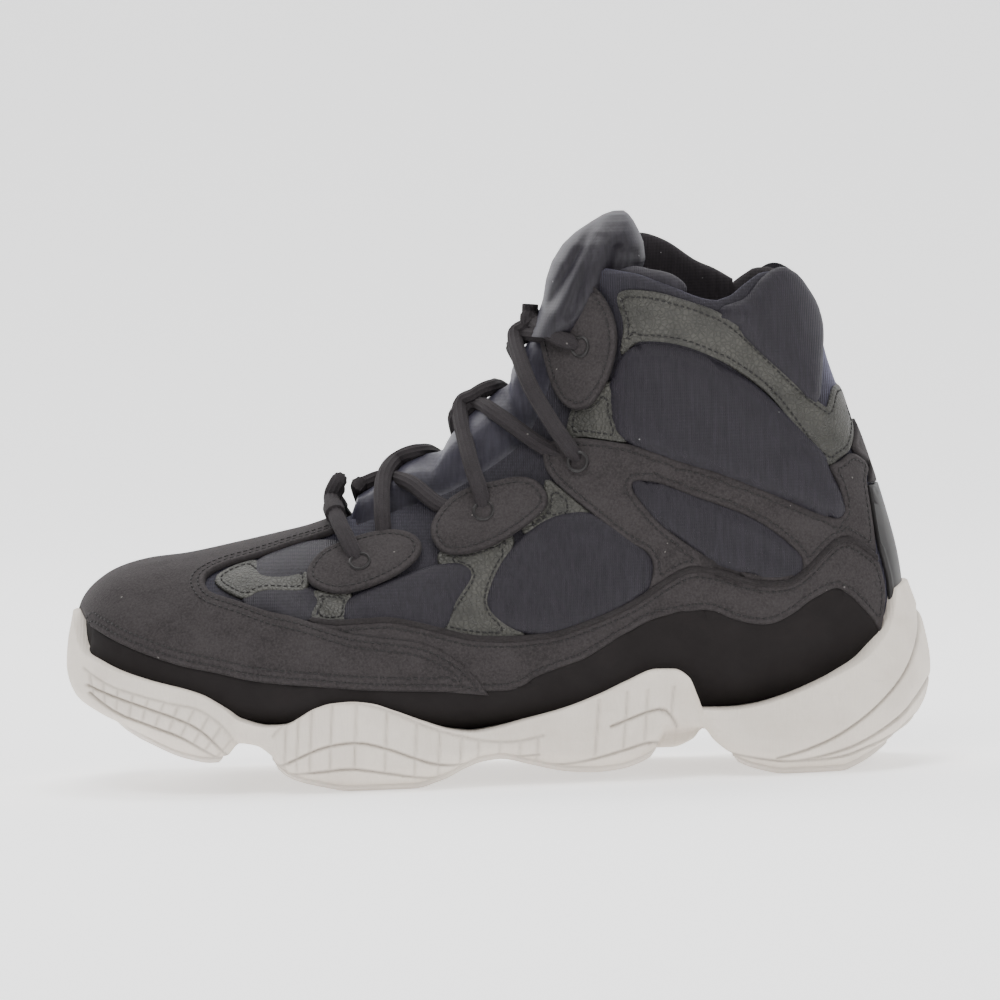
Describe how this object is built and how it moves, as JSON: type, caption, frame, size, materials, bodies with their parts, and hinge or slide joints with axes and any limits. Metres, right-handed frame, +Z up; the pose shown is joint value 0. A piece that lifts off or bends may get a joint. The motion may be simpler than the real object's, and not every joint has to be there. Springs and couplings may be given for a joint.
{
  "type": "high-top sneaker",
  "caption": "Left high-top sneaker: hollow padded upper with suede and leather overlays, tongue, crossed round laces and a waved cup sole with separate tread pads.",
  "frame": {"origin": "middle of the shoe's box on the floor", "axes": "+X from toe to heel, +Y to the medial side, +Z up"},
  "size_m": [0.3046, 0.12, 0.1977],
  "materials": {
    "foam": "matte moulded foam",
    "tread": "matte rubber",
    "lining": "soft knit",
    "nylon": "woven nylon, padded",
    "nubuck": "smooth nubuck",
    "suede": "napped suede",
    "rubber": "smooth rubber",
    "leather": "grained leather",
    "webbing": "woven webbing",
    "cord": "round braided cord"
  },
  "bodies": {
    "root": {"collar_band_lateral": "leather", "collar_band_medial": "leather", "eyelet_tab_2_lateral": "suede", "eyelet_tab_2_medial": "suede", "eyelet_tab_3_lateral": "suede", "eyelet_tab_3_medial": "suede", "eyelet_tab_5_lateral": "suede", "eyelet_tab_5_medial": "suede", "heel_back": "suede", "heel_strip": "rubber", "insole": "lining", "lace": "cord", "midsole": "foam", "mudguard_lateral": "nubuck", "mudguard_medial": "nubuck", "outsole_forefoot": "tread", "outsole_heel": "tread", "outsole_toe": "tread", "star_lateral": "suede", "star_medial": "suede", "suede_overlay": "suede", "toe_loop": "webbing", "tongue": "nylon", "upper": "nylon", "vamp_leather_2_lateral": "leather", "vamp_leather_2_medial": "leather", "vamp_leather_3_lateral": "leather", "vamp_leather_3_medial": "leather", "vamp_leather_4_lateral": "leather", "vamp_leather_4_medial": "leather", "vamp_leather_5_lateral": "leather", "vamp_leather_5_medial": "leather", "vamp_leather_toe_lateral": "leather", "vamp_leather_toe_medial": "leather"}
  },
  "joints": []
}
